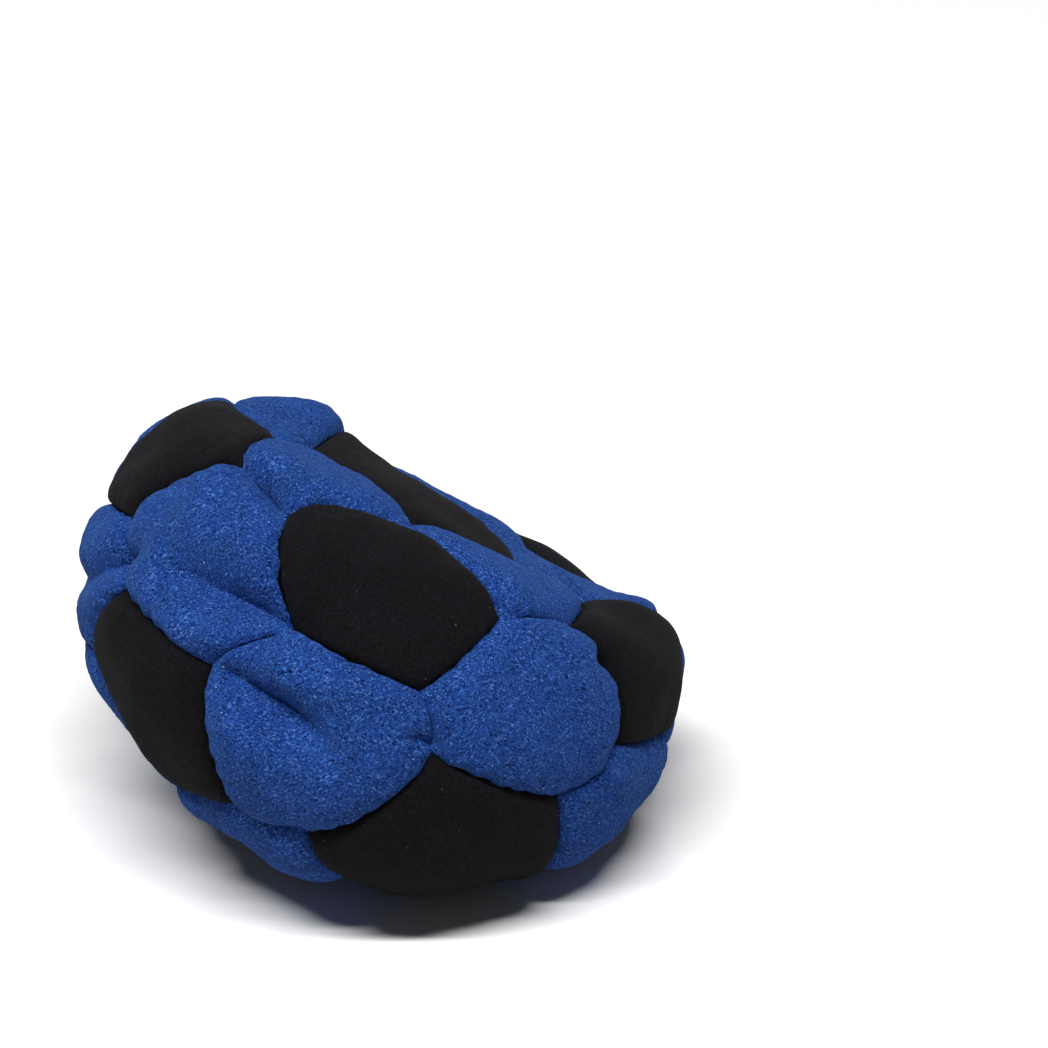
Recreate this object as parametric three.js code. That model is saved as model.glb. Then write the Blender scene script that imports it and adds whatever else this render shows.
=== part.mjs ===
// A footbag: a small kick ball of 32 suede panels, 12 black five-sided ones and 20 blue six-sided
// ones, sewn together inside out, turned, and loosely filled with fine grains. It lies slumped on a
// flat surface and keeps the flat where it was last pressed. Millimetres, +Z up.
import * as THREE from "three";
import { mergeVertices } from "three/addons/utils/BufferGeometryUtils.js";

// Driving sizes of the slumped ball
const ballRadius = 28; // half its width, seen from above
const halfHeight = 24; // half the height that it would have if the floor did not flatten it
const flattenedFoot = 3.6; // how much of that the floor flattens away
const lean = -1.5; // how far the top leans over to the side
const footSpreadShare = 0.083; // how much wider the ball is low down than at its middle
const floorSoftness = 1; // how gently the cover turns up from the floor
const footCut = 0.5; // how deep the rounded cover is cut flat where it rests
const middleHeight = halfHeight - flattenedFoot; // the middle of the ball over the floor

// Flats that were pressed into the filling: which way each faces, how far from the middle it lies,
// and how gently it runs out into the round, both as shares of the ball's mean radius
const meanRadius = (2 * ballRadius + halfHeight) / 3;
const pressedFlats = [
  { facingShares: [0.476, 0.387, 0.79], distanceShare: 0.40875, softnessShare: 0.1125 },
  { facingShares: [-0.718, -0.348, -0.603], distanceShare: 1.095, softnessShare: 0.2325 },
];

// Suede, seams and thread
const suedeThickness = 0.9;
const seamDepth = 0.8; // how deep the sewn line lies under the crown of the panels
const rollTopIn = 1.2; // where the edge starts to roll over, in from the sewn line
const rollTopDepth = 0.3;
const rollDepth = 1; // where the two rolled edges come nearest to each other
const seamGap = 0.3; // what is left open between them
const threadRadius = 0.2;
const threadClearance = 0.3; // between the thread and the turned-in edges beside it
const pocketDrop = 0.45; // how far the rolled edges part before they turn straight in
const threadDrop = 0.25; // from there to the top of the thread
const seamAllowance = 0.8; // what is left of the suede past the thread
const fillClearance = 0.35; // between the filling and the suede
const fillUnderEdge = 0.5; // how far under the cut edges the filling comes up to the panels
const fillValleyUnderEdge = 1.8; // and how far under them it lies below the sewn line
const fillBesideEdge = 1.4; // how far to the side of the cut edge it comes up

// The turned-in edge, worked out from these
const pocketSide = threadRadius + threadClearance;
const pocketTopDepth = rollDepth + pocketDrop;
const threadDepth = pocketTopDepth + threadDrop + threadRadius;
const edgeDepth = threadDepth + seamAllowance;
const edgeBackSide = pocketSide + suedeThickness;
const fillValleyDepth = edgeDepth + fillValleyUnderEdge;

// How the flat pattern is turned on the ball: a turn about this line, by this angle in radians
const patternTurnLineShares = [0.58, -0.263, 0.771];
const patternTurn = 1.409;

// Where a corner of the pattern lies on the line from one black panel's middle to the next one's
const cornerShare = 0.385;

// The black panels' middles in the order of the pattern: the front one, the five round it, the five
// round the back one, and the back one
const blackPlaces = [
  "front", "top", "right", "low", "left", "upperLeft",
  "backRight", "underRight", "underLeft", "backLeft", "back", "underBack",
];

// Hand sewing moved some corners: from a black panel towards a neighbour, how far the corner moved
// along that line and across it, as shares of its length
const movedCornerShares = [
  ["front", "upperLeft", -0.01, 0.04],
  ["front", "left", -0.02, 0],
  ["front", "low", -0.02, 0.01],
  ["front", "right", -0.03, -0.03],
  ["front", "top", -0.04, -0.02],
  ["upperLeft", "front", 0.01, 0.01],
  ["upperLeft", "top", 0.04, -0.05],
  ["upperLeft", "backLeft", 0.05, 0.05],
  ["upperLeft", "back", 0.06, -0.09],
  ["left", "front", 0.01, 0.01],
  ["left", "upperLeft", -0.01, 0],
  ["left", "backLeft", -0.01, 0],
  ["left", "low", 0, -0.09],
  ["low", "front", 0.07, -0.01],
  ["low", "left", 0.03, 0.02],
  ["low", "right", 0.01, 0.01],
  ["low", "underRight", 0.06, 0.04],
  ["low", "underLeft", 0.05, -0.04],
  ["right", "front", 0.02, -0.06],
  ["right", "underRight", 0.02, -0.02],
  ["top", "front", 0.06, 0],
];

// How finely a panel is divided: steps along a black panel's sides, along the sides where two blue
// panels meet, and the rings of its skin as shares from its middle to its edge
const longSideSteps = 3;
const shortSideSteps = 2;
const ringShares = [0.45, 0.72];
const backRingShare = 0.45; // on the back of a panel and on the filling under it
const settledShare = 0.975; // the grains settle a little away from the cover
const mostShoulderShare = 0.45; // on a small panel, of the way from the sewn line to its middle
const crownPower = 4; // a high power keeps the crown full up to near the edge

const blackSuede = new THREE.MeshStandardMaterial({ color: 0x1c1b20, roughness: 0.95, metalness: 0 });
const blueSuede = new THREE.MeshStandardMaterial({ color: 0x2f66b0, roughness: 0.95, metalness: 0 });
const threadFinish = new THREE.MeshStandardMaterial({ color: 0x15151a, roughness: 0.6, metalness: 0 });
const grains = new THREE.MeshStandardMaterial({ color: 0xcbbf9f, roughness: 0.9, metalness: 0 });

// The soft limit: nothing where value is well below limit, and the excess where it is well above
function softExcess(value, limit, softness) {
  return softness * Math.log1p(Math.exp((value - limit) / softness));
}

// A direction of the round pattern, carried onto the envelope of the slumped ball
function envelope(direction) {
  const point = new THREE.Vector3(
    ballRadius * direction.x * (1 - footSpreadShare * direction.z) + lean * direction.z,
    ballRadius * direction.y * (1 - footSpreadShare * direction.z),
    halfHeight * direction.z,
  );
  for (const flat of pressedFlats) {
    const facing = new THREE.Vector3(...flat.facingShares).normalize();
    const distance = flat.distanceShare * meanRadius;
    const softness = flat.softnessShare * meanRadius;
    point.addScaledVector(facing, -softExcess(point.dot(facing), distance, softness));
  }
  const height = point.z + middleHeight + footCut;
  point.z = softExcess(height, 0, floorSoftness) - footCut;
  return point;
}

// The outward normal of the envelope, from two small steps to the sides
function envelopeNormal(direction) {
  const step = 1e-4;
  const aside = new THREE.Vector3(direction.z, direction.x, direction.y).cross(direction).normalize();
  const along = direction.clone().cross(aside);
  const there = (way, size) => envelope(direction.clone().addScaledVector(way, size).normalize());
  const slopeAside = there(aside, step).sub(there(aside, -step));
  const slopeAlong = there(along, step).sub(there(along, -step));
  return slopeAside.cross(slopeAlong).normalize();
}

// A point so much over the envelope, pressed flat where it would go below the floor
function skinPoint(direction, rise) {
  const point = envelope(direction).addScaledVector(envelopeNormal(direction), rise);
  point.z = Math.max(point.z, 0);
  return point;
}

// The middles of the black panels lie as the corners of an icosahedron do
function blackDirections() {
  const ringHeight = 1 / Math.sqrt(5);
  const ringRadius = 2 / Math.sqrt(5);
  const onRing = (turn, height) =>
    new THREE.Vector3(ringRadius * Math.cos(turn), ringRadius * Math.sin(turn), height);
  const fifth = (2 * Math.PI) / 5;
  const near = [0, 1, 2, 3, 4].map((place) => onRing(-fifth * place, ringHeight));
  const far = [0, 1, 2, 3, 4].map((place) => onRing(-fifth * (place + 1 / 2), -ringHeight));
  const turnLine = new THREE.Vector3(...patternTurnLineShares).normalize();
  return [new THREE.Vector3(0, 0, 1), ...near, ...far, new THREE.Vector3(0, 0, -1)].map((way) =>
    way.applyAxisAngle(turnLine, patternTurn),
  );
}

const middles = blackDirections();
const neighbourCosine = 1 / Math.sqrt(5);
const areNeighbours = (one, other) => Math.abs(middles[one].dot(middles[other]) - neighbourCosine) < 1e-6;

// The pattern corner beside black panel from, on the line towards black panel to
function patternCorner(from, to) {
  const line = middles[to].clone().sub(middles[from]);
  const corner = middles[from].clone().addScaledVector(line, cornerShare);
  const across = corner.clone().normalize().cross(line);
  for (const [fromName, toName, alongShare, acrossShare] of movedCornerShares) {
    if (blackPlaces[from] !== fromName || blackPlaces[to] !== toName) continue;
    corner.addScaledVector(line, alongShare).addScaledVector(across, acrossShare);
  }
  return corner.normalize();
}

// The numbers in order round the outward direction, anticlockwise seen from outside
function roundAbout(outward, numbers, wayOf) {
  const first = wayOf(numbers[0]).clone().projectOnPlane(outward).normalize();
  const second = outward.clone().cross(first).normalize();
  const turn = (number) => Math.atan2(wayOf(number).dot(second), wayOf(number).dot(first));
  return [...numbers].sort((one, other) => turn(one) - turn(other));
}

// A black panel's five corners point at its five neighbours
function blackCorners(black) {
  const near = middles.map((_, number) => number).filter((number) => areNeighbours(black, number));
  return roundAbout(middles[black], near, (number) => middles[number]).map((to) => ({
    way: patternCorner(black, to),
    sideSteps: longSideSteps,
  }));
}

// A blue panel lies between three black ones: its sides are in turn a black panel's side and a
// side that it shares with another blue panel
function blueCorners(three) {
  const outward = three.reduce((sum, number) => sum.add(middles[number]), new THREE.Vector3()).normalize();
  const order = roundAbout(outward, three, (number) => middles[number]);
  return order.flatMap((black, place) => {
    const before = order[(place + 2) % 3];
    const after = order[(place + 1) % 3];
    return [
      { way: patternCorner(black, before), sideSteps: longSideSteps },
      { way: patternCorner(black, after), sideSteps: shortSideSteps },
    ];
  });
}

function blueTriples() {
  const triples = [];
  for (let one = 0; one < 12; one++)
    for (let two = one + 1; two < 12; two++)
      for (let three = two + 1; three < 12; three++)
        if (areNeighbours(one, two) && areNeighbours(two, three) && areNeighbours(one, three))
          triples.push([one, two, three]);
  return triples;
}

// The sewn line round a panel as directions, with the panel's own middle
function sewnLine(corners) {
  const ways = corners.flatMap(({ way, sideSteps }, place) => {
    const next = corners[(place + 1) % corners.length].way;
    const wayAt = (share) => way.clone().lerp(next, share).normalize();
    return Array.from({ length: sideSteps }, (_, step) => wayAt(step / sideSteps));
  });
  const middle = corners.reduce((sum, { way }) => sum.add(way), new THREE.Vector3()).normalize();
  return { ways, middle };
}

// For each point of the sewn line: the point on the envelope, its normal, and the way into the panel
// that keeps an offset line at the same distance from both of its neighbours
function stationsOf({ ways, middle }) {
  const points = ways.map(envelope);
  const normals = ways.map(envelopeNormal);
  return ways.map((way, place) => {
    const before = points[(place + ways.length - 1) % ways.length];
    const after = points[(place + 1) % ways.length];
    const normal = normals[place];
    const inwardOf = (from, to) => normal.clone().cross(to.clone().sub(from)).normalize();
    const first = inwardOf(before, points[place]);
    const second = inwardOf(points[place], after);
    const inward = first.clone().add(second).divideScalar(1 + first.dot(second));
    return { way, middle, point: points[place], normal, inward };
  });
}

// A point of a panel's edge section: so far in from the sewn line, and so deep
function edgePoint(station, inFromLine, depth) {
  const point = station.point.clone().addScaledVector(station.inward, inFromLine);
  point.addScaledVector(station.normal, -depth);
  point.z = Math.max(point.z, 0);
  return point;
}

// The crown's depth under the envelope at a share of the way from the middle to the sewn line
const crownDepth = (share) => seamDepth * share ** crownPower;

function ringPoint(station, share, depthBelowSkin) {
  const way = station.middle.clone().lerp(station.way, share).normalize();
  const point = skinPoint(way, -crownDepth(share));
  return point.addScaledVector(envelopeNormal(way), -depthBelowSkin);
}

function middlePoint(line, depthBelowSkin) {
  return skinPoint(line.middle, 0).addScaledVector(envelopeNormal(line.middle), -depthBelowSkin);
}

// A closed strip of faces between two rings of points, facing the side that the rings turn
// anticlockwise about when the first ring is the inner one
function addBand(corners, inner, outer) {
  inner.forEach((start, place) => {
    const next = (place + 1) % inner.length;
    corners.push(start, outer[place], outer[next], start, outer[next], inner[next]);
  });
}

function addFan(corners, middle, ring) {
  ring.forEach((point, place) => corners.push(middle, point, ring[(place + 1) % ring.length]));
}

function closedSolid(corners) {
  const geometry = new THREE.BufferGeometry().setFromPoints(corners);
  const solid = mergeVertices(geometry, 1e-4);
  solid.computeVertexNormals();
  return solid;
}

// One panel: its crowned skin, the edge rolled over and turned in, and its back
function panelSolid(line) {
  const stations = stationsOf(line);
  const edge = (inFromLine, depth) => stations.map((station) => edgePoint(station, inFromLine, depth));
  const rings = [
    ...ringShares.map((share) => stations.map((station) => ringPoint(station, share, 0))),
    edge(rollTopIn, rollTopDepth),
    edge(seamGap / 2, rollDepth),
    edge(pocketSide, pocketTopDepth),
    edge(pocketSide, edgeDepth),
    edge(edgeBackSide, edgeDepth),
    edge(edgeBackSide, rollDepth + suedeThickness),
    stations.map((station) => ringPoint(station, backRingShare, suedeThickness)),
  ];
  const corners = [];
  addFan(corners, middlePoint(line, 0), rings[0]);
  for (let place = 1; place < rings.length; place++) addBand(corners, rings[place - 1], rings[place]);
  addFan(corners, middlePoint(line, suedeThickness), [...rings[rings.length - 1]].reverse());
  return closedSolid(corners);
}

// The thread follows every seam in the pocket between the two turned-in edges. Each panel gives the
// half of the thread that faces it, so the halves close into one branching cord.
function threadSolid(lines) {
  const corners = [];
  for (const line of lines) {
    const stations = stationsOf(line);
    const top = stations.map((station) => edgePoint(station, 0, threadDepth - threadRadius));
    const side = stations.map((station) => edgePoint(station, threadRadius, threadDepth));
    const bottom = stations.map((station) => edgePoint(station, 0, threadDepth + threadRadius));
    addBand(corners, side, top);
    addBand(corners, bottom, side);
  }
  return closedSolid(corners);
}

// The grains fill the cover up to the backs of the panels, and stand back from the turned-in edges
function fillingSolid(lines) {
  const corners = [];
  for (const line of lines) {
    const stations = stationsOf(line);
    const valley = stations.map((station) => edgePoint(station, 0, fillValleyDepth));
    const shoulder = stations.map((station) => {
      const room = station.point.distanceTo(envelope(station.middle));
      const shoulderIn = Math.min(edgeBackSide + fillBesideEdge, mostShoulderShare * room);
      return edgePoint(station, shoulderIn, edgeDepth + fillUnderEdge);
    });
    const ring = stations.map((station) =>
      ringPoint(station, backRingShare, suedeThickness + fillClearance),
    );
    addFan(corners, middlePoint(line, suedeThickness + fillClearance), ring);
    addBand(corners, ring, shoulder);
    addBand(corners, shoulder, valley);
  }
  const middle = new THREE.Vector3(0, 0, middleHeight);
  for (const corner of new Set(corners)) corner.sub(middle).multiplyScalar(settledShare).add(middle);
  return closedSolid(corners);
}

function meshOf(name, geometry, material) {
  const mesh = new THREE.Mesh(geometry, material);
  mesh.name = name;
  return mesh;
}

const twoDigits = (number) => String(number).padStart(2, "0");
const blackLines = middles.map((_, black) => sewnLine(blackCorners(black)));
const blueLines = blueTriples().map((three) => sewnLine(blueCorners(three)));
const allLines = [...blackLines, ...blueLines];

const footbag = new THREE.Group();
blackLines.forEach((line, place) => {
  footbag.add(meshOf(`black_panel_${twoDigits(place + 1)}`, panelSolid(line), blackSuede));
});
blueLines.forEach((line, place) => {
  footbag.add(meshOf(`blue_panel_${twoDigits(place + 1)}`, panelSolid(line), blueSuede));
});
footbag.add(meshOf("sewing_thread", threadSolid(allLines), threadFinish));
footbag.add(meshOf("filling", fillingSolid(allLines), grains));

// The origin is under the middle of the ball, on the floor
const box = new THREE.Box3().setFromObject(footbag);
const middleOfBox = box.getCenter(new THREE.Vector3());
footbag.position.set(-middleOfBox.x, -middleOfBox.y, -box.min.z);

export default footbag;
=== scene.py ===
# A footbag of 32 suede panels, slumped on the floor over its loose filling. The lengths of the cover
# and its seams are in millimetres and become metres when a panel's mesh is made.
import itertools
import math

import bpy
import numpy as np
from mathutils import Matrix, Vector, kdtree


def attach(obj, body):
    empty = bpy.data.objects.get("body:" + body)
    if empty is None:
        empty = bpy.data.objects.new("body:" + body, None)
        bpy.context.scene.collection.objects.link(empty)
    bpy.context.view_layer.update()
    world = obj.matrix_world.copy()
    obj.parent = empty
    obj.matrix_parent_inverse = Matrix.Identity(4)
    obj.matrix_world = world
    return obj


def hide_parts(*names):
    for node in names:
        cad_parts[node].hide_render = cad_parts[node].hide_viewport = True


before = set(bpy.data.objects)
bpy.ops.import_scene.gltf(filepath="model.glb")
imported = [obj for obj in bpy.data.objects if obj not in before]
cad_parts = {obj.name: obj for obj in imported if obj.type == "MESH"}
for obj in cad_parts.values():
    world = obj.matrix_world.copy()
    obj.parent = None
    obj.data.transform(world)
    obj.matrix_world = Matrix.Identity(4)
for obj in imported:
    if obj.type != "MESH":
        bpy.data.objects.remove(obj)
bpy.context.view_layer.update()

bpy.ops.object.select_all(action="DESELECT")

# The camera stands 280 mm from the ball's middle with a long lens and looks down on it at 30
# degrees. The ball lies left of the picture's middle and a little below it.
picture_width_px = 1048
lens_px = 3087.5
ball_middle_px = (378.2, 611.2)
ball_middle = np.array([-0.0003, 0, 0.0204])
camera_distance = 0.28
camera_elevation = math.radians(30)
sensor_width = 36

ahead = np.array([0, math.cos(camera_elevation), -math.sin(camera_elevation)])
above = np.array([0, math.sin(camera_elevation), math.cos(camera_elevation)])
beside = np.array([1, 0, 0])
shift_beside = (ball_middle_px[0] - picture_width_px / 2) / lens_px * camera_distance
shift_above = (ball_middle_px[1] - picture_width_px / 2) / lens_px * camera_distance

bpy.ops.object.camera_add(
    location=ball_middle - ahead * camera_distance - beside * shift_beside + above * shift_above,
    rotation=(math.pi / 2 - camera_elevation, 0, 0),
)
camera = bpy.context.object
camera.data.sensor_width = sensor_width
camera.data.lens = lens_px / picture_width_px * sensor_width
bpy.context.scene.camera = camera
bpy.context.scene.view_settings.view_transform = "Standard"


# The floor is a plain white sheet, wide enough to fill the picture. The camera sees it whiter than
# the light that it throws back at the ball, and it keeps the ball's shadow. Farther off, where the
# soft box hardly reaches, the camera sees plain white.
def linear(hex_colour):
    """An sRGB colour such as "2d5faf" as linear red, green, blue and alpha."""
    shares = [int(hex_colour[place:place + 2], 16) / 255 for place in (0, 2, 4)]
    toe_share, toe_slope, offset, power = 0.04045, 12.92, 0.055, 2.4
    straight = [
        share / toe_slope if share <= toe_share else ((share + offset) / (1 + offset)) ** power
        for share in shares
    ]
    return (*straight, 1)


def add_node(material, kind, inputs, **settings):
    """Adds a node. An input is given a value, or a socket of another node that it is linked to."""
    node = material.node_tree.nodes.new(kind)
    for name, value in settings.items():
        setattr(node, name, value)
    for name, value in inputs.items():
        if isinstance(value, bpy.types.NodeSocket):
            material.node_tree.links.new(value, node.inputs[name])
        else:
            node.inputs[name].default_value = value
    return node


def empty_material(name):
    material = bpy.data.materials.new(name)
    material.use_nodes = True
    material.node_tree.nodes.clear()
    return material


floor_width = 4
paper_white, paper_white_seen = 0.62, 1.16
plain_from, plain_beyond = 0.15, 0.35

paper = empty_material("white_paper")
sees_camera = add_node(paper, "ShaderNodeLightPath", {})
whiteness = add_node(
    paper,
    "ShaderNodeMapRange",
    {"Value": sees_camera.outputs["Is Camera Ray"], "To Min": paper_white, "To Max": paper_white_seen},
    clamp=False,
)
matt_white = add_node(paper, "ShaderNodeBsdfDiffuse", {"Color": whiteness.outputs["Result"]})
paper_places = add_node(paper, "ShaderNodeTexCoord", {}).outputs["Object"]
from_ball = add_node(paper, "ShaderNodeVectorMath", {0: paper_places}, operation="LENGTH")
far_off = add_node(
    paper,
    "ShaderNodeMapRange",
    {"Value": from_ball.outputs["Value"], "From Min": plain_from, "From Max": plain_beyond},
)
far_off_and_seen = add_node(
    paper,
    "ShaderNodeMath",
    {0: far_off.outputs["Result"], 1: sees_camera.outputs["Is Camera Ray"]},
    operation="MULTIPLY",
)
far_white = add_node(paper, "ShaderNodeEmission", {"Color": linear("ffffff"), "Strength": 1})
paper_mix = add_node(
    paper,
    "ShaderNodeMixShader",
    {0: far_off_and_seen.outputs[0], 1: matt_white.outputs[0], 2: far_white.outputs[0]},
)
add_node(paper, "ShaderNodeOutputMaterial", {"Surface": paper_mix.outputs[0]})

bpy.ops.mesh.primitive_plane_add(size=floor_width)
floor = bpy.context.object
floor.name = "paper_floor"
floor.data.materials.append(paper)

# The light is a long narrow soft box that hangs across the ball, over it and a little in front of
# it. The white room all round is dim, and plain white behind the floor's edge.
room_strength = 0.05
box_distance = 1.5
box_turn = math.radians(87)
box_lean = math.radians(21)
box_length, box_width = 1.15, 0.1
box_level = 1.13

room = bpy.data.worlds.new("white_room")
room.use_nodes = True
room.node_tree.nodes.clear()
dim_white = add_node(
    room, "ShaderNodeBackground", {"Color": linear("ffffff"), "Strength": room_strength}
)
plain_white = add_node(room, "ShaderNodeBackground", {"Color": linear("ffffff"), "Strength": 1})
ray = add_node(room, "ShaderNodeLightPath", {})
seen_directly = add_node(
    room,
    "ShaderNodeMath",
    {0: ray.outputs["Is Camera Ray"], 1: ray.outputs["Is Glossy Ray"]},
    operation="MAXIMUM",
)
seen = add_node(
    room,
    "ShaderNodeMath",
    {0: seen_directly.outputs[0], 1: ray.outputs["Is Transmission Ray"]},
    operation="MAXIMUM",
)
room_mix = add_node(
    room,
    "ShaderNodeMixShader",
    {0: seen.outputs[0], 1: dim_white.outputs[0], 2: plain_white.outputs[0]},
)
add_node(room, "ShaderNodeOutputWorld", {"Surface": room_mix.outputs[0]})
bpy.context.scene.world = room

to_box = Vector((
    -math.cos(box_turn),
    -math.sin(box_turn) * math.sin(box_lean),
    math.sin(box_turn) * math.cos(box_lean),
))
bpy.ops.object.light_add(type="AREA", location=to_box * box_distance)
soft_box = bpy.context.object
soft_box.name = "soft_box"
soft_box.data.shape = "RECTANGLE"
soft_box.data.size = box_length
soft_box.data.size_y = box_width
# A white surface that faces a lamp of this power is seen at the box's level
soft_box.data.energy = box_level * math.pi**2 * box_distance**2
beside_box = Vector((0, 1, 0)).cross(to_box).normalized()
along_box = to_box.cross(beside_box)
soft_box.rotation_euler = Matrix([beside_box, along_box, to_box]).transposed().to_euler()

# The cover's form: a ball that the floor flattens from below, with two flats pressed into its
# filling, each given by the way it faces, its distance from the middle and how gently it runs out.
# The foot would bulge a little below the floor, and the panels are cut flat there.
mm_per_metre = 1000
cover_radius = 28
cover_half_height = 24
cover_lean = -1.5
foot_spread_share = 0.083
floor_softness = 1
foot_cut = 0.5
middle_height = 20.4
pattern_beside_box = np.array([-0.324, 0.027, 0])
pressed_flats = [
    {"facing": (0.476, 0.387, 0.79), "distance": 10.9, "softness": 3},
    {"facing": (-0.718, -0.348, -0.603), "distance": 29.2, "softness": 6.2},
]


def unit(vectors):
    return vectors / np.linalg.norm(vectors, axis=-1, keepdims=True)


def soft_excess(value, limit, softness):
    """Nothing where the value is well below the limit, and the excess where it is well above."""
    return softness * np.log1p(np.exp((value - limit) / softness))


def cover_points(ways):
    """Where directions of the round pattern lie on the slumped cover, in millimetres."""
    spread = cover_radius * (1 - foot_spread_share * ways[..., 2])
    points = np.stack(
        [
            spread * ways[..., 0] + cover_lean * ways[..., 2],
            spread * ways[..., 1],
            cover_half_height * ways[..., 2],
        ],
        axis=-1,
    )
    for flat in pressed_flats:
        facing = unit(np.array(flat["facing"]))
        excess = soft_excess(points @ facing, flat["distance"], flat["softness"])
        points = points - facing * excess[..., None]
    height = points[..., 2] + middle_height + foot_cut
    points[..., 2] = soft_excess(height, 0, floor_softness) - foot_cut
    return points + pattern_beside_box


def tangents(ways):
    aside = unit(np.cross(np.roll(ways, -2, axis=-1), ways))
    return aside, np.cross(ways, aside)


def cover_slopes(ways, step=1e-4):
    """The two tangent directions at each way, and how the cover's points move along them."""
    aside, along = tangents(ways)
    slopes = [
        (cover_points(unit(ways + way * step)) - cover_points(unit(ways - way * step))) / (2 * step)
        for way in (aside, along)
    ]
    return aside, along, slopes[0], slopes[1]


def cover_normals(ways):
    _, _, slope_aside, slope_along = cover_slopes(ways)
    return unit(np.cross(slope_aside, slope_along))


def ways_to(targets, ways, rounds=4):
    """The ways whose points on the cover lie nearest to the targets, found from ways close by."""
    for _ in range(rounds):
        aside, along, slope_aside, slope_along = cover_slopes(ways)
        slopes = np.stack([slope_aside, slope_along], axis=-1)
        missing = (targets - cover_points(ways))[..., None]
        steps = np.linalg.pinv(slopes) @ missing
        ways = unit(ways + aside * steps[..., 0, :] + along * steps[..., 1, :])
    return ways


# The pattern: the middles of the 12 black panels lie as the corners of an icosahedron do, and a
# blue panel lies between each three of them. Hand sewing moved some of the corners.
pattern_turn_line = (0.58, -0.263, 0.771)
pattern_turn = 1.409
corner_share = 0.4
black_places = [
    "front", "top", "right", "low", "left", "upper_left",
    "back_right", "under_right", "under_left", "back_left", "back", "under_back",
]

# Moved corners: the black panel beside the corner, the one that it lies towards, and how far it moved
# along and across the line between the two, as shares of that line
moved_corners = [
    ("front", "upper_left", 0.01, 0.03), ("front", "left", -0.02, 0), ("front", "low", -0.01, 0.02),
    ("front", "right", 0, -0.01), ("front", "top", 0.05, -0.03),
    ("upper_left", "front", -0.01, 0.02), ("upper_left", "top", 0.11, 0.04),
    ("upper_left", "back", 0.1, -0.05), ("upper_left", "back_left", 0.13, 0.05),
    ("upper_left", "left", 0, -0.05), ("left", "front", -0.03, 0.01), ("left", "upper_left", 0.01, 0.04),
    ("left", "back_left", 0.04, 0.03), ("left", "under_left", 0.08, -0.03), ("left", "low", 0.02, -0.16),
    ("low", "front", 0.05, -0.02), ("low", "left", 0.02, 0.08), ("low", "right", 0.01, -0.04),
    ("low", "under_right", 0.13, -0.03), ("low", "under_left", 0.13, 0.04),
    ("right", "front", -0.03, -0.12), ("right", "low", 0, 0.05), ("right", "under_right", 0.06, -0.01),
    ("top", "front", 0.02, 0), ("top", "upper_left", 0.01, -0.12), ("top", "back", 0.13, 0.03),
    ("back", "top", -0.08, 0), ("top", "back_right", 0.08, 0.05), ("back_right", "top", -0.05, 0),
    ("right", "top", 0.05, -0.09), ("right", "back_right", 0.08, -0.05),
    ("back_right", "right", -0.05, 0),
]

# Seams that bow: their two corners, the black panel that each bows away from, and how far its middle
# lies off the straight line, in millimetres.
bowed_seams = [
    (("front", "upper_left"), ("front", "top"), "front", 1.3),
    (("front", "top"), ("front", "right"), "front", 0.5),
    (("front", "left"), ("front", "upper_left"), "front", 0.6),
    (("front", "right"), ("front", "low"), "front", 0.3),
    (("front", "low"), ("front", "left"), "front", -0.1),
    (("upper_left", "left"), ("upper_left", "front"), "upper_left", -1.3),
    (("upper_left", "front"), ("upper_left", "top"), "upper_left", -0.5),
    (("left", "front"), ("left", "low"), "left", -0.3),
    (("left", "back_left"), ("left", "upper_left"), "left", 0.7),
    (("upper_left", "back_left"), ("upper_left", "back"), "upper_left", -2),
    (("low", "under_left"), ("low", "under_right"), "low", 6),
    (("front", "upper_left"), ("upper_left", "front"), "left", 0.9),
    (("low", "front"), ("low", "left"), "low", -1),
    (("low", "right"), ("low", "front"), "low", -0.3),
    (("right", "low"), ("right", "front"), "right", -1.1),
    (("top", "front"), ("top", "upper_left"), "top", -0.5),
    (("front", "left"), ("left", "front"), "low", 0.4),
    (("front", "low"), ("low", "front"), "left", 0.5),
    (("low", "left"), ("left", "low"), "front", 0.8),
    (("low", "right"), ("right", "low"), "front", 0.5),
    (("upper_left", "left"), ("left", "upper_left"), "front", 0.8),
]


def turned(vectors, line, angle):
    """Vectors turned about a line through the middle."""
    line = unit(np.array(line))
    return (
        vectors * math.cos(angle)
        + np.cross(line, vectors) * math.sin(angle)
        + np.outer(vectors @ line, line) * (1 - math.cos(angle))
    )


ring_height = 1 / math.sqrt(5)
ring_radius = 2 * ring_height


def ring_of_five(first_turn, height):
    """Five corners of an upright icosahedron that lie at one height."""
    turns = first_turn - np.arange(5) * math.tau / 5
    return [(ring_radius * math.cos(turn), ring_radius * math.sin(turn), height) for turn in turns]


upright_middles = np.array([
    (0, 0, 1), *ring_of_five(0, ring_height), *ring_of_five(-math.pi / 5, -ring_height), (0, 0, -1),
])
middles = turned(upright_middles, pattern_turn_line, pattern_turn)
black_count = len(middles)
rounding = 1e-6
are_neighbours = np.abs(middles @ middles.T - ring_height) < rounding


def pattern_corner(start, end):
    """The corner beside black panel start, on the line towards black panel end."""
    line = middles[end] - middles[start]
    corner = middles[start] + corner_share * line
    across = np.cross(unit(corner), line)
    for start_name, end_name, along_share, across_share in moved_corners:
        if (black_places[start], black_places[end]) == (start_name, end_name):
            corner = corner + along_share * line + across_share * across
    return unit(corner)


def in_order(outward, numbers):
    """Black panels in their order round a direction, anticlockwise seen from outside."""
    flat = middles[numbers] - np.outer(middles[numbers] @ outward, outward)
    first = unit(flat[0])
    second = np.cross(outward, first)
    turns = np.arctan2(flat @ second, flat @ first)
    return [numbers[place] for place in np.argsort(turns)]


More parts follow.
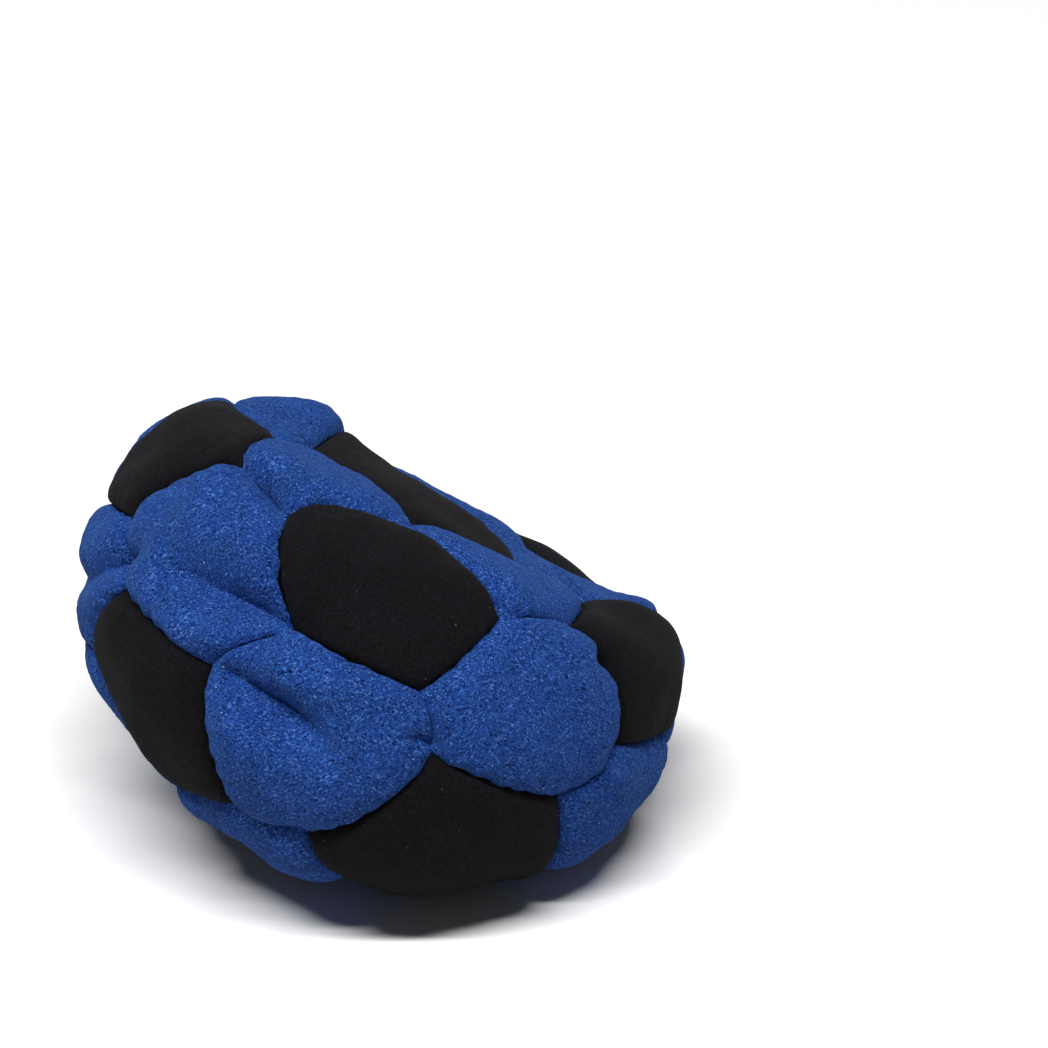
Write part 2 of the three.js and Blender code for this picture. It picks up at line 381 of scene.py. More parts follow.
# A panel is listed by its corners, each named by the two black panels whose line it lies on.
black_outlines = [
    [(black, end) for end in in_order(middles[black], list(np.flatnonzero(are_neighbours[black])))]
    for black in range(black_count)
]
blue_outlines = []
for trio in itertools.combinations(range(black_count), 3):
    if all(are_neighbours[one, two] for one, two in itertools.combinations(trio, 2)):
        order = in_order(unit(middles[list(trio)].sum(axis=0)), list(trio))
        blue_outlines.append([
            corner
            for place, black in enumerate(order)
            for corner in ((black, order[place - 1]), (black, order[(place + 1) % 3]))
        ])

# Each panel is one cut piece of napped suede about 0.9 mm thick. It is sewn inside out along a line
# that lies well under its crown, so its edge rolls over and turns in, and the thread pulls the edge
# in at each stitch. A blue edge bulges out over the black one that it is sewn to.
suede_thickness = 0.9
half_side_steps = 24
skin_crowding = 0.9
rim_guess_share = 0.06
roll_starts_in = 1.3
stitch_length = 2.3
corner_pull = 0.4
corner_pull_width = 1.3
height_blend = 4

# Sections of an edge, from where it starts to roll over to where it is cut: how far in from the
# sewn line, and how high over the cover.
edge_sections = {
    "blue_by_black": [
        (1.3, -0.26), (0.85, -0.37), (0.42, -0.56), (0.04, -0.85), (-0.24, -1.16), (-0.36, -1.42),
        (-0.3, -1.62), (-0.08, -1.78), (0.05, -1.95), (0.22, -2.2), (0.24, -2.7),
    ],
    "black_by_blue": [
        (1.3, -0.6), (1.06, -0.69), (0.86, -0.82), (0.7, -0.99), (0.57, -1.2), (0.48, -1.43),
        (0.4, -1.64), (0.25, -1.82), (0.06, -1.97), (0.22, -2.2), (0.24, -2.7),
    ],
    "blue_by_blue": [
        (1.3, -0.26), (0.9, -0.36), (0.55, -0.5), (0.28, -0.7), (0.1, -0.93), (0.02, -1.2),
        (0.02, -1.45), (0.03, -1.7), (0.05, -1.95), (0.22, -2.2), (0.24, -2.7),
    ],
}

# The unevenness of an edge runs out on its way down, and the sections of two sides mix at a corner
plain_from_share, plain_run_share = 0.6, 0.3
corner_mix_run = 1.5

# The panels' crowns, and the pull of the stitches, which draws the edge down and in
crowns = {"blue_by_black": 0.6, "black_by_blue": 0.3, "blue_by_blue": 0.6}
crown_run = 2.1
stitch_pull, pucker_run = 0.18, 1.1
pull_middle, pull_swing, pull_swing_run = 0.6, 0.4, 2.7
stitch_wander, stitch_wander_run = 1.2, 4.1
scallop_depth, scallop_middle = 0.28, 0.25
corner_closing, corner_closing_run = 0.25, 1.2

# Unevenness: how much and over what length a blue edge wanders and its nap frays, the lumps that the
# grains leave, as heights and lengths, and those of the blue nap. Some dents in the blue edges are
# deep enough to be placed one by one, and one below nought stands out.
edge_wander, wander_length = 0.1, 4
edge_fuzz, fuzz_length = 0.05, 0.8
lumps = [(0.2, 11), (0.1, 5), (0.015, 1.8)]
blue_nap_lump, blue_nap_length = 0.03, 0.9
nap_seed, wander_seed, fuzz_seed = 5, 7, 8
slowest_wave, fastest_wave = 0.6, 1.3
edge_dents = [
    {"middle": (-18.5, -6.3, 37.7), "depth": 0.9, "width": 1.5},
    {"middle": (-8.2, -19.3, 35.6), "depth": 0.6, "width": 1.1},
    {"middle": (-8.2, -16.5, 37.9), "depth": 0.4, "width": 1},
    {"middle": (-0.9, -12, 39.2), "depth": -0.7, "width": 1.3},
    {"middle": (-3, -12.2, 39.9), "depth": 0.5, "width": 1.1},
    {"middle": (19.5, -14.6, 26.9), "depth": -1.5, "width": 1.2},
    {"middle": (20.9, -15, 25.2), "depth": 2, "width": 1.5},
]

# From the cut edge, the inner side of the turned-in suede goes back up
inside_edge = [(1.4, -2.7), (1.4, -2.3), (1.42, -1.9)]


def seam_ways(start, end):
    """The sewn line between two corners of the pattern, the same for both panels that it joins."""
    if start > end:
        return seam_ways(end, start)[::-1]
    shares = np.linspace(0, 1, 2 * half_side_steps + 1)[:, None]
    start_way, end_way = pattern_corner(*start), pattern_corner(*end)
    ways = start_way * (1 - shares) + end_way * shares
    for one, two, away_from, bow in bowed_seams:
        corners = [tuple(black_places.index(name) for name in corner) for corner in (one, two)]
        if sorted(corners) == sorted([tuple(map(int, start)), tuple(map(int, end))]):
            middle = (start_way + end_way) / 2
            away = middle - middles[black_places.index(away_from)]
            for other in (unit(middle), unit(end_way - start_way)):
                away = away - (away @ other) * other
            ways = ways + unit(away) * 4 * shares * (1 - shares) * bow / cover_radius
    return unit(ways)


def seam_number(start, end):
    """A number of its own for each seam, the same for both panels that it joins."""
    number = 0
    for black in (*min(start, end), *max(start, end)):
        number = number * black_count + int(black)
    return number


def wave_field(points, length, seed, waves=24):
    """A smooth uneven field between about -1 and 1, with humps of about the given length."""
    source = np.random.default_rng(seed)
    facing = unit(source.normal(size=(waves, 3)))
    pace = math.tau / length * source.uniform(slowest_wave, fastest_wave, size=(waves, 1))
    phase = source.uniform(0, math.tau, size=waves)
    return np.cos(points @ (facing * pace).T + phase).sum(axis=1) / math.sqrt(waves)


def nearest_on(line, points):
    """The distance of each point from a line of points, and how far along the line that is."""
    starts, ends = line[:-1], line[1:]
    spans = ends - starts
    lengths = np.linalg.norm(spans, axis=1)
    shares = np.einsum("pij,ij->pi", points[:, None] - starts, spans) / lengths**2
    shares = np.clip(shares, 0, 1)
    distances = np.linalg.norm(points[:, None] - starts - shares[..., None] * spans, axis=2)
    nearest = distances.argmin(axis=1)
    rows = np.arange(len(points))
    before = np.concatenate([[0], np.cumsum(lengths)])
    return distances[rows, nearest], before[nearest] + shares[rows, nearest] * lengths[nearest]


def smooth_section(section):
    """A section with a point between each two of its own, on the cubic through the nearest four."""
    given = np.array(section)
    padded = np.concatenate([[2 * given[0] - given[1]], given, [2 * given[-1] - given[-2]]])
    between = (9 * (padded[1:-2] + padded[2:-1]) - padded[:-3] - padded[3:]) / 16
    both = np.empty((2 * len(given) - 1, 2))
    both[::2] = given
    both[1::2] = between
    return both


def side_kinds(outline):
    """What each side of a panel is sewn to: a blue panel's sides alternate."""
    if len(outline) == 5:
        return ["black_by_blue"] * 5
    if outline[0][0] == outline[1][0]:
        return ["blue_by_black", "blue_by_blue"] * 3
    return ["blue_by_blue", "blue_by_black"] * 3


# Folds that the loose filling leaves in the cover: points along each one in millimetres, its depth
# at each of them, and the width of the hollow round it. Swells are where the filling bulges instead.
folds = [
    {"line": [(-6.5, -22.3, 32.6), (-10, -20.5, 33.6), (-12, -19.2, 33.9), (-16.2, -15.8, 34.1),
              (-18.7, -13.6, 33.6)],
     "depths": [1.9, 4.4, 4.4, 2.8, 0.4], "width": 3.1},
    {"line": [(-13, -22.4, 28.4), (-11.9, -23.2, 28), (-10.2, -24.3, 27.2), (-8.5, -25.2, 26.4),
              (-6.8, -25.9, 25.6), (-5.1, -26.5, 24.6), (-3.7, -26.9, 23.6), (-2, -27.4, 22.5)],
     "depths": [0.8, 2.8, 3.8, 4.2, 3.9, 3.1, 1.7, 0], "width": 2.5},
    {"line": [(5.2, -26.8, 23.7), (4.3, -26.9, 24.1), (2.5, -27, 24.8)],
     "depths": [1, 1.1, 0], "width": 1.1},
    {"line": [(-10, -9.7, 40.7), (-9, -10.7, 40.6), (-8.2, -12.4, 40.2), (-7.8, -14.1, 39.5)],
     "depths": [1.8, 2.2, 1.5, 0.4], "width": 1.5},
    {"line": [(-20.6, -11, 33.8), (-22.5, -9.3, 32), (-24, -7.8, 30.2), (-25.7, -5.5, 27.4),
              (-27.1, -1, 24.4), (-26.9, 3, 24)],
     "depths": [0.8, 2.2, 2, 1.5, 1.3, 0], "width": 1.5},
    {"line": [(21.2, -14.7, 25.1), (20.2, -16, 25.6), (19.1, -17.3, 26.1)],
     "depths": [1.1, 1, 0], "width": 1.1},
]
crease_width_share = 0.3
crease_depth_share = 0.4
swells = [
    {"middle": (-21.4, 6.4, 34.8), "height": 0.8, "width": 5},
    {"middle": (-26.7, -5, 18.5), "height": 0.7, "width": 3.5},
    {"middle": (-26.3, 0.7, 30), "height": 0.4, "width": 3},
    {"middle": (-17.9, -15, 11.5), "height": 0.9, "width": 5},
    {"middle": (23.6, -10.6, 8.9), "height": 1.2, "width": 6},
    {"middle": (17, -16.5, 5.5), "height": 1.3, "width": 6},
    {"middle": (-9, 18, 30.5), "height": 1.8, "width": 8},
    {"middle": (11, 16.2, 19.3), "height": 1.2, "width": 7},
    {"middle": (-12.6, -20.8, 31), "height": 1.2, "width": 2.6},
    {"middle": (-11.3, -24.3, 24.6), "height": 1.1, "width": 3.2},
    {"middle": (4, 2, 30.5), "height": 1.6, "width": 7},
    {"middle": (-5.5, 11, 32.5), "height": 2.2, "width": 6},
    {"middle": (22.3, -4, 21.5), "height": 1.6, "width": 5.5},
    {"middle": (25, 2, 17.5), "height": 1.6, "width": 4.5},
]


def fold_depths(points):
    """A fold is a round hollow with a sharp crease along its middle."""
    depths = np.zeros(len(points))
    for fold in folds:
        line = np.array(fold["line"])
        distance, along = nearest_on(line, points)
        stations = np.concatenate([[0], np.cumsum(np.linalg.norm(np.diff(line, axis=0), axis=1))])
        depth = np.interp(along, stations, fold["depths"])
        hollow = np.exp(-((distance / fold["width"]) ** 2))
        crease = np.exp(-distance / (crease_width_share * fold["width"]))
        depths += depth * (hollow * (1 - crease_depth_share) + crease * crease_depth_share)
    return depths


def swell_heights(points):
    heights = np.zeros(len(points))
    for swell in swells:
        distance = np.linalg.norm(points - np.array(swell["middle"]), axis=1)
        heights += swell["height"] * np.exp(-((distance / swell["width"]) ** 2))
    return heights


def crown_heights(points, sides, kinds):
    """How high the panel stands over the cover, from its distance to each of its seams."""
    total = np.zeros(len(points))
    for side, kind in zip(sides, kinds):
        distance, along = nearest_on(side, points)
        start = edge_sections[kind][0][1]
        run = np.exp(-np.maximum(distance - roll_starts_in, 0) / crown_run)
        height = crowns[kind] - (crowns[kind] - start) * run
        total += np.exp(-height_blend * height)
    return -np.log(total) / height_blend


def pucker(along, seed):
    """The thread pulls the cover down at each stitch, by an amount that differs along the seam."""
    source = np.random.default_rng(seed)
    phase, wander = source.uniform(0, math.tau, 2)
    wandering = stitch_wander * np.sin(along / stitch_wander_run + wander)
    turns = along / stitch_length * math.tau + phase + wandering
    strength = pull_middle + pull_swing * np.sin(along / pull_swing_run + wander * 2)
    return strength * (0.5 + 0.5 * np.cos(turns))


def cover_lumps(points):
    """The uneven swell that the grains give the cover."""
    uneven = [height * wave_field(points, length, seed) for seed, (height, length) in enumerate(lumps)]
    return sum(uneven) + swell_heights(points)


def ways_inward(line, normals, count):
    """The way into the panel from each point of its sewn line. It leans towards the middle of the side
    more and more as it comes to a corner, so that the two sides of the corner meet in one point."""
    side_steps = 2 * half_side_steps
    before = unit(np.cross(normals, line - np.roll(line, 1, axis=0)))
    after = unit(np.cross(normals, np.roll(line, -1, axis=0) - line))
    straight_in = unit(before + after)
    inward = (before + after) / (1 + (before * after).sum(axis=1))[:, None]
    share = (np.arange(1, side_steps) / side_steps)[:, None]
    for side in range(count):
        first, last = side * side_steps, (side + 1) * side_steps % len(line)
        stations = first + np.arange(1, side_steps)
        onward = np.cross(straight_in[stations], normals[stations])
        start_lean = inward[first] @ np.cross(after[first], normals[first])
        end_lean = inward[last] @ np.cross(before[last], normals[last])
        lean = start_lean * (1 - share) + end_lean * share
        inward[stations] = straight_in[stations] + onward * lean
    return inward


def skin_grid(rim_ways, middle_way, count):
    """The skin's points, as ways, and its faces: one patch of squares between the panel's middle and
    each of its corners. The last points are the rim, where the edge starts to roll."""
    side_steps = 2 * half_side_steps
    steps = half_side_steps
    loop = len(rim_ways)
    spacing = np.linspace(0, 1, steps + 1) ** skin_crowding
    skin_ways = [middle_way]
    index = {}
    for side in range(count):
        side_middle = rim_ways[side * side_steps + steps]
        for step in range(1, steps):
            index[("spoke", side, step)] = len(skin_ways)
            skin_ways.append(unit(middle_way * (1 - spacing[step]) + side_middle * spacing[step]))
    grids = []
    for corner in range(count):
        grid = np.zeros((steps + 1, steps + 1), dtype=int)
        previous = (corner - 1) % count
        u = spacing[:, None, None]
        v = spacing[None, :, None]
        from_previous = rim_ways[(previous * side_steps + steps + np.arange(steps + 1)) % loop]
        from_next = rim_ways[(corner * side_steps + steps - np.arange(steps + 1)) % loop]
        previous_spoke = middle_way + spacing[:, None] * (from_previous[0] - middle_way)
        next_spoke = middle_way + spacing[:, None] * (from_next[0] - middle_way)
        ways = (
            (1 - v) * previous_spoke[:, None]
            + v * from_next[:, None]
            + (1 - u) * next_spoke[None]
            + u * from_previous[None]
            - (1 - u) * (1 - v) * middle_way
            - u * (1 - v) * from_previous[0]
            - (1 - u) * v * from_next[0]
            - u * v * from_previous[-1]
        )
        for a in range(steps + 1):
            for b in range(steps + 1):
                if a == steps:
                    grid[a, b] = -1 - (previous * side_steps + steps + b) % loop
                elif b == steps:
                    grid[a, b] = -1 - (corner * side_steps + steps - a) % loop
                elif a == 0 and b == 0:
                    grid[a, b] = 0
                elif b == 0:
                    grid[a, b] = index[("spoke", previous, a)]
                elif a == 0:
                    grid[a, b] = index[("spoke", corner, b)]
                else:
                    grid[a, b] = len(skin_ways)
                    skin_ways.append(unit(ways[a, b]))
        grids.append(grid)
    inner = len(skin_ways)
    quads = []
    for grid in grids:
        grid = np.where(grid < 0, inner - 1 - grid, grid)
        corners_round = [grid[:-1, :-1], grid[1:, :-1], grid[1:, 1:], grid[:-1, 1:]]
        quads.append(np.stack(corners_round, axis=-1).reshape(-1, 4))
    return np.concatenate([np.array(skin_ways), rim_ways]), np.concatenate(quads)


def panel_mesh(name, outline):
    """A panel as one closed shell: its skin, its rolled edge and the back of the suede."""
    kinds = side_kinds(outline)
    count = len(outline)
    side_steps = 2 * half_side_steps
    side_ways = [seam_ways(outline[place], outline[(place + 1) % count]) for place in range(count)]
    seeds = [seam_number(outline[place], outline[(place + 1) % count]) for place in range(count)]
    flips = [outline[place] > outline[(place + 1) % count] for place in range(count)]
    line_ways = np.concatenate([ways[:-1] for ways in side_ways])
    sides = [cover_points(ways) for ways in side_ways]
    line = cover_points(line_ways)
    loop = len(line)
    corners = line[::side_steps]
    middle_way = unit(line_ways[::side_steps].sum(axis=0))

    normals = cover_normals(line_ways)
    inward = ways_inward(line, normals, count)
    rim_guess_ways = unit(line_ways + rim_guess_share * (middle_way - line_ways))
    rim_ways = ways_to(line + inward * roll_starts_in, rim_guess_ways)
    skin_ways, quads = skin_grid(rim_ways, middle_way, count)
    inner = len(skin_ways) - len(rim_ways)

    base = cover_points(skin_ways)
    skin_normals = cover_normals(skin_ways)
    heights = crown_heights(base, sides, kinds)
    rim_starts = [edge_sections[kinds[place // side_steps]][0][1] for place in range(loop)]
    rim_shift = heights[inner:] - np.array(rim_starts)
    lifts = heights + cover_lumps(base) - fold_depths(base)
    if count == 6:
        lifts += blue_nap_lump * wave_field(base, blue_nap_length, nap_seed)
    for side, seed, flip in zip(sides, seeds, flips):
        distance, along = nearest_on(side[::-1] if flip else side, base)
        lifts -= stitch_pull * pucker(along, seed) * np.exp(-distance / pucker_run)
    corner_distance = np.linalg.norm(base[:, None] - corners, axis=2).min(axis=1)
    lifts -= corner_pull * np.exp(-(corner_distance / corner_pull_width) ** 2)
    skin = base + skin_normals * lifts[:, None]
    skin[:, 2] = np.maximum(skin[:, 2], 0)
    back = skin - skin_normals * suede_thickness

    # The rolled edge, ring by ring down to the cut edge and up again to the back
    sections = np.array([smooth_section(edge_sections[kind]) for kind in kinds])
    place = np.arange(loop)
    side_of = place // side_steps
    along_share = (place % side_steps) / side_steps
    to_corner = np.linalg.norm(line[:, None] - corners, axis=2).min(axis=1)
    other = np.where(along_share < 0.5, side_of - 1, side_of + 1) % count
    own_share = (0.5 + 0.5 * np.clip(to_corner / corner_mix_run, 0, 1))[:, None, None]
    section = sections[side_of] * own_share + sections[other] * (1 - own_share)
    pulls = np.zeros(loop)
    for number, (side, seed, flip) in enumerate(zip(sides, seeds, flips)):
        chosen = side_of == number
        distance, along = nearest_on(side[::-1] if flip else side, line[chosen])
        pulls[chosen] = pucker(along, seed)

    def edge_lifts(x):
        """How much lumps and stitches lift the edge at this distance in from the sewn line."""
        over = np.maximum(x, 0)
        near_corner = (to_corner**2 + over**2) / corner_pull_width**2
        lift = rim_shift + cover_lumps(line + inward * x[:, None])
        if count == 6:
            lift += blue_nap_lump * wave_field(line + inward * x[:, None], blue_nap_length, nap_seed)
        lift -= stitch_pull * pulls * np.exp(-over / pucker_run)
        lift -= corner_pull * np.exp(-near_corner)
        return lift

    over_black = np.array([kind == "blue_by_black" for kind in kinds])
    over_share = own_share[:, 0, 0]
    over_share = over_black[side_of] * over_share + over_black[other] * (1 - over_share)
    edge_shift = scallop_depth * (pulls - scallop_middle)
    edge_shift += edge_wander * wave_field(line, wander_length, wander_seed)
    edge_shift += edge_fuzz * wave_field(line, fuzz_length, fuzz_seed)
    for dent in edge_dents:
        distance = np.linalg.norm(line - np.array(dent["middle"]), axis=1)
        edge_shift += dent["depth"] * np.exp(-((distance / dent["width"]) ** 2))
    edge_shift = over_share * edge_shift
    edge_shift -= corner_closing * np.exp(-((to_corner / corner_closing_run) ** 2))
    start_x, start_y = section[:, 0, 0], section[:, 0, 1]
    rim_height = start_y + edge_lifts(start_x) - fold_depths(line + inward * start_x[:, None])
    rim_guess = line + inward * start_x[:, None] + normals * rim_height[:, None]
    fit = skin[inner:] - rim_guess
    rings = []
    for ring in range(1, sections.shape[1]):
        share = ring / (sections.shape[1] - 1)
        hidden = np.clip((share - plain_from_share) / plain_run_share, 0, 1)
        x, y = section[:, ring, 0], section[:, ring, 1]
        x = x + edge_shift * (1 - hidden) * share
        y = y + edge_lifts(x) * (1 - hidden) - fold_depths(line + inward * x[:, None])
        points = line + inward * x[:, None] + normals * y[:, None]
        points += fit * (1 - share) ** 3
        rings.append(points)
    for x, y in inside_edge:
        depth = fold_depths(line + inward * x)
        rings.append(line + inward * x + normals * (y - depth)[:, None])
    for points in rings:
        points[:, 2] = np.maximum(points[:, 2], 0)

    vertices = np.concatenate([skin, *rings, back])
    faces = [quads]
    starts = [inner] + [len(skin) + number * loop for number in range(len(rings))]
    starts.append(len(skin) + len(rings) * loop + inner)
    around = np.arange(loop)
    following = (around + 1) % loop
    for first, second in zip(starts[:-1], starts[1:]):
        strip = [first + around, second + around, second + following, first + following]
        faces.append(np.stack(strip, axis=1))
    faces.append(quads[:, ::-1] + len(skin) + len(rings) * loop)
    mesh = bpy.data.meshes.new(name)
    mesh.from_pydata((vertices / mm_per_metre).tolist(), [], np.concatenate(faces).tolist())
    mesh.update()
    mesh.shade_smooth()
    return mesh


def add_panel(name, outline, material):
    panel = bpy.data.objects.new(name + "_suede", panel_mesh(name, outline))
    bpy.context.collection.objects.link(panel)
    panel.data.materials.append(material)
    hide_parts(name)
    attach(panel, "root")
    return panel


# Black suede, a matt napped synthetic: nearly black, with a faint fine nap and a few pale specks of
# lint caught in it. The nap is about 0.1 mm wide, and is drawn a little coarser so that it shows.
def suede(name, nap_tones, lint_and_glint, lint_and_glint_gap, sheen_weight, sheen_tint):
    """Napped suede: short strokes of nap that lie two ways, patches where it was brushed, and pale specks,
    which are lint on the black suede and painted glints of single fibres catching the light on the blue.
    Each tone of the nap is a place on its scale of heights, from deep to high, and a colour."""
    nap_width = 0.00015
    nap_stretch = 2.2
    patch_width = 0.0025
    darkest_patch, lightest_patch = 0.88, 1.12
    lies = (0.7, -0.6)
    lint_and_glint_size, finest_lint_and_glint = 0.00006, 5
    material = empty_material(name)
    places = add_node(material, "ShaderNodeTexCoord", {}).outputs["Object"]
    patches = add_node(
        material, "ShaderNodeTexNoise", {"Vector": places, "Scale": 1 / patch_width, "Detail": 3}
    )
    strokes = []
    for turn in lies:
        laid = add_node(
            material,
            "ShaderNodeMapping",
            {"Vector": places, "Rotation": (0, turn, turn / 2), "Scale": (nap_stretch, 1, 1)},
            vector_type="TEXTURE",
        )
        strokes.append(add_node(
            material,
            "ShaderNodeTexNoise",
            {
                "Vector": laid.outputs["Vector"],
                "Scale": 1 / nap_width,
                "Detail": 3,
                "Roughness": 0.6,
                "Distortion": 0.8,
            },
        ))
    lie = add_node(
        material,
        "ShaderNodeMapRange",
        {"Value": patches.outputs["Fac"], "From Min": 0.46, "From Max": 0.54},
    )
    nap = add_node(
        material,
        "ShaderNodeMix",
        {0: lie.outputs["Result"], 2: strokes[0].outputs["Fac"], 3: strokes[1].outputs["Fac"]},
    )
    tones = add_node(material, "ShaderNodeValToRGB", {"Fac": nap.outputs[0]})
    ramp = tones.color_ramp.elements
    ramp[0].position, ramp[0].color = nap_tones[0][0], linear(nap_tones[0][1])
    ramp[1].position, ramp[1].color = nap_tones[-1][0], linear(nap_tones[-1][1])
    for place, tone in nap_tones[1:-1]:
        ramp.new(place).color = linear(tone)
    patch_tone = add_node(
        material,
        "ShaderNodeMapRange",
        {
            "Value": patches.outputs["Fac"],
            "From Min": 0.3,
            "From Max": 0.7,
            "To Min": darkest_patch,
            "To Max": lightest_patch,
        },
    )
    shaded = add_node(
        material,
        "ShaderNodeVectorMath",
        {0: tones.outputs["Color"], 1: patch_tone.outputs["Result"]},
        operation="MULTIPLY",
    )
    # Pale specks: real lint on the black suede, painted glints (painted highlights of fibres) on the blue
    # suede.
    lint_and_glint_places = add_node(
        material,
        "ShaderNodeMapping",
        {"Vector": places, "Rotation": (0.5, 0.2, 0.8), "Scale": (1, 2, 1)},
    )
    lint_and_glint_cells = add_node(
        material,
        "ShaderNodeTexVoronoi",
        {"Vector": lint_and_glint_places.outputs["Vector"], "Scale": 1 / lint_and_glint_gap},
    )
    fineness = add_node(
        material,
        "ShaderNodeMapRange",
        {
            "Value": lint_and_glint_cells.outputs["Color"],
            "From Min": 0.2,
            "From Max": 0.8,
            "To Min": 1,
            "To Max": finest_lint_and_glint,
        },
    )
    lint_and_glint_distance = add_node(
        material,
        "ShaderNodeMath",
        {0: lint_and_glint_cells.outputs["Distance"], 1: fineness.outputs["Result"]},
        operation="MULTIPLY",
    )
    lint_and_glint_share = add_node(
        material,
        "ShaderNodeMapRange",
        {
            "Value": lint_and_glint_distance.outputs[0],
            "From Min": lint_and_glint_size / lint_and_glint_gap,
            "From Max": 2 * lint_and_glint_size / lint_and_glint_gap,
            "To Min": 0.8,
            "To Max": 0,
        },
    )
    with_lint_and_glints = add_node(
        material,
        "ShaderNodeMix",
        {0: lint_and_glint_share.outputs["Result"], 6: shaded.outputs["Vector"], 7: linear(lint_and_glint)},
        data_type="RGBA",
    )
    relief = add_node(
        material,
        "ShaderNodeBump",
        {"Height": nap.outputs[0], "Strength": 0.9, "Distance": 0.0002},
    )
    shader = add_node(
        material,
        "ShaderNodeBsdfPrincipled",
        {
            "Base Color": with_lint_and_glints.outputs[2],
            "Roughness": 0.9,
            "Specular IOR Level": 0.12,
            "Sheen Weight": sheen_weight,
            "Sheen Roughness": 0.4,
            "Sheen Tint": linear(sheen_tint),
            "Normal": relief.outputs["Normal"],
        },
    )
    add_node(material, "ShaderNodeOutputMaterial", {"Surface": shader.outputs[0]})
    return material


black_nap = [(0.37, "030304"), (0.5, "09080b"), (0.66, "1d1a21")]
black_suede = suede("black_suede", black_nap, "5c5c60", 0.0011, 0.015, "8a8890")
for number, outline in enumerate(black_outlines, start=1):
    add_panel(f"black_panel_{number:02d}", outline, black_suede)

# Blue suede, the same cloth dyed a strong blue. Its nap is longer, and shows as dark and bright strokes.
# Its pale specks are not lint but painted glints, fibres that catch the light.
blue_nap = [(0.37, "04123c"), (0.47, "1b4190"), (0.55, "214a98"), (0.68, "5e8fde")]
blue_suede = suede("blue_suede", blue_nap, "a4c4fa", 0.0015, 0.22, "6aa4ff")
for number, outline in enumerate(blue_outlines, start=1):
    add_panel(f"blue_panel_{number:02d}", outline, blue_suede)

# The sewing thread is waxed black polyester, 0.4 mm thick. It runs along the 90 seams, under the
# rolled edges of the panels, and shows only where a seam is pulled open.
thread_radius = 0.2
thread_depth = 2.45
twist_scale = 2500

thread_runs = [
    (outline[place - 1], outline[place]) for outline in black_outlines for place in range(len(outline))
]
thread_runs += [((one, two), (two, one)) for one, two in np.argwhere(are_neighbours) if one < two]
run_shapes = bpy.data.curves.new("sewing_thread_runs", "CURVE")
run_shapes.dimensions = "3D"
run_shapes.bevel_depth = thread_radius / mm_per_metre
run_shapes.bevel_resolution = 2
for start, end in thread_runs:
    run_ways = seam_ways(start, end)[::2]
    run_line = cover_points(run_ways)
    run_line -= cover_normals(run_ways) * (thread_depth + fold_depths(run_line))[:, None]
    run_line[:, 2] = np.maximum(run_line[:, 2], thread_radius)
    run = run_shapes.splines.new("POLY")
    run.points.add(len(run_line) - 1)
    for point, place in zip(run.points, run_line / mm_per_metre):
        point.co = (*place, 1)
thread_piece = bpy.data.objects.new("sewing_thread_waxed", run_shapes)
bpy.context.collection.objects.link(thread_piece)
bpy.ops.object.select_all(action="DESELECT")
thread_piece.select_set(True)
bpy.context.view_layer.objects.active = thread_piece
bpy.ops.object.convert(target="MESH")

thread = empty_material("waxed_thread")
thread_places = add_node(thread, "ShaderNodeTexCoord", {}).outputs["Object"]
twist = add_node(thread, "ShaderNodeTexWave", {"Vector": thread_places, "Scale": twist_scale})
twist_relief = add_node(thread, "ShaderNodeBump", {"Height": twist.outputs["Fac"], "Distance": 0.00003})
thread_shader = add_node(
    thread,
    "ShaderNodeBsdfPrincipled",
    {"Base Color": linear("17171b"), "Roughness": 0.5, "Normal": twist_relief.outputs["Normal"]},
)
add_node(thread, "ShaderNodeOutputMaterial", {"Surface": thread_shader.outputs[0]})
thread_piece = bpy.context.object
thread_piece.data.materials.append(thread)
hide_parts("sewing_thread")
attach(thread_piece, "root")

# The filling is fine plastic grains, loose in the cover. They swell into each panel and leave the
# seams free. They are seen only if the ball is cut open.
filling_under_seam = 3.1
filling_under_panel = 1.2
filling_crown, filling_rim_drop = 0.3, 0.6
filling_rise = (1.75, 2.4)
filling_over_floor = 1.15
grains_per_metre = 900

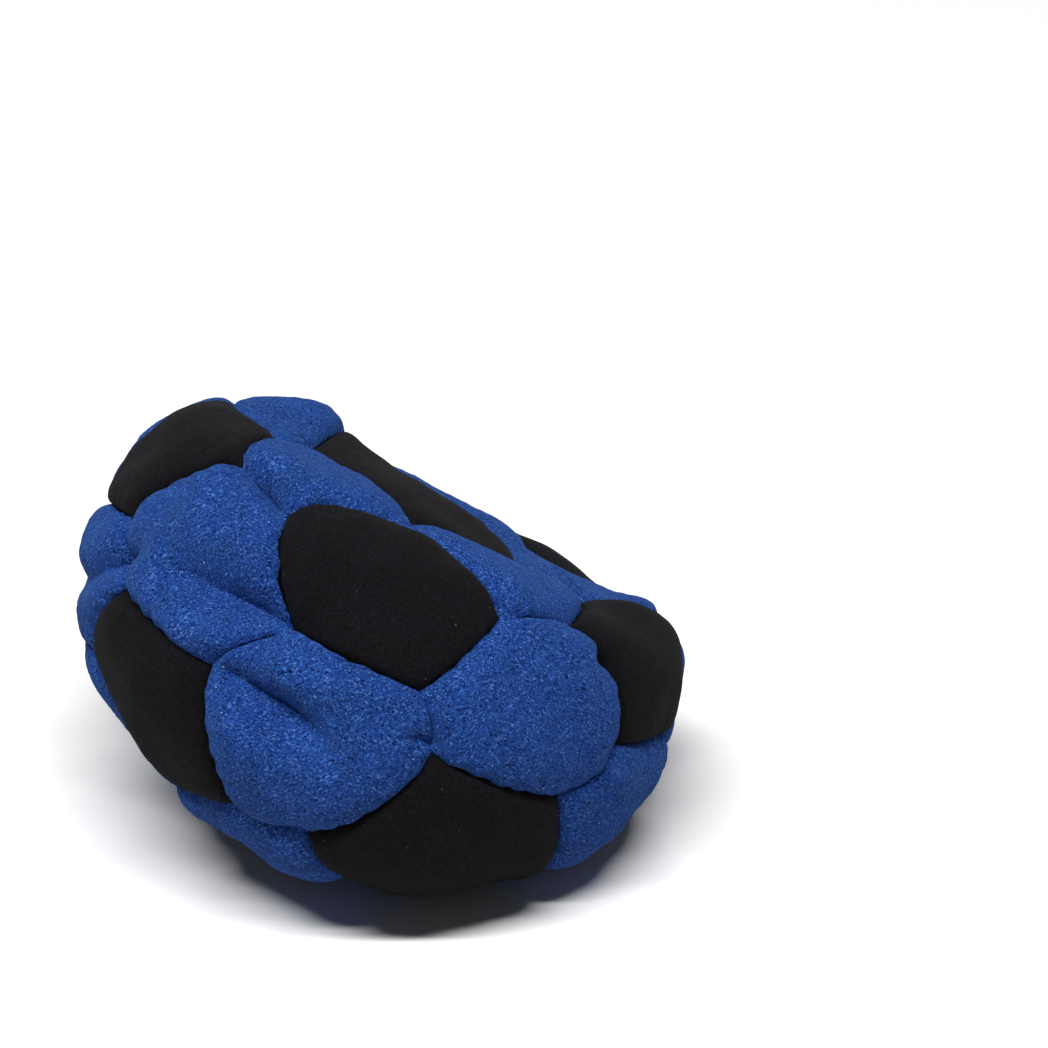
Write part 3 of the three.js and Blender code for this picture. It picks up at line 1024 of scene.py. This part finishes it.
bpy.ops.mesh.primitive_ico_sphere_add(subdivisions=7, radius=1)
filling = bpy.context.object
filling.name = "filling_grains"
filling_ways = unit(np.array([vertex.co for vertex in filling.data.vertices]))
filling_base = cover_points(filling_ways)
seam_places = np.concatenate([cover_points(seam_ways(start, end)) for start, end in thread_runs])
seam_finder = kdtree.KDTree(len(seam_places))
for number, place in enumerate(seam_places):
    seam_finder.insert(place, number)
seam_finder.balance()
from_seam = np.array([seam_finder.find(place)[2] for place in filling_base])
rise = np.clip((from_seam - filling_rise[0]) / (filling_rise[1] - filling_rise[0]), 0, 1)
rise = rise * rise * (3 - 2 * rise)
rim_nearness = np.exp(-np.maximum(from_seam - roll_starts_in, 0) / crown_run)
crown = filling_crown - (filling_crown + filling_rim_drop) * rim_nearness
under_panel = crown + cover_lumps(filling_base) - filling_under_panel
filling_lifts = under_panel * rise - filling_under_seam * (1 - rise) - fold_depths(filling_base)
filling_points = filling_base + cover_normals(filling_ways) * filling_lifts[:, None]
filling_points[:, 2] = np.maximum(filling_points[:, 2], filling_over_floor)
filling.data.vertices.foreach_set("co", (filling_points / mm_per_metre).ravel())
filling.data.update()
filling.data.shade_smooth()

grains = empty_material("plastic_grains")
grain_places = add_node(grains, "ShaderNodeTexCoord", {}).outputs["Object"]
grain_cells = add_node(grains, "ShaderNodeTexVoronoi", {"Vector": grain_places, "Scale": grains_per_metre})
grain_tones = add_node(grains, "ShaderNodeValToRGB", {"Fac": grain_cells.outputs["Distance"]})
grain_tones.color_ramp.elements[0].color = linear("d8cba8")
grain_tones.color_ramp.elements[1].color = linear("8f8263")
grain_relief = add_node(
    grains, "ShaderNodeBump", {"Height": grain_cells.outputs["Distance"], "Distance": 0.0004}
)
grain_shader = add_node(
    grains,
    "ShaderNodeBsdfPrincipled",
    {
        "Base Color": grain_tones.outputs["Color"],
        "Roughness": 0.6,
        "Normal": grain_relief.outputs["Normal"],
    },
)
add_node(grains, "ShaderNodeOutputMaterial", {"Surface": grain_shader.outputs[0]})
filling.data.materials.append(grains)
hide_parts("filling")
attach(filling, "root")
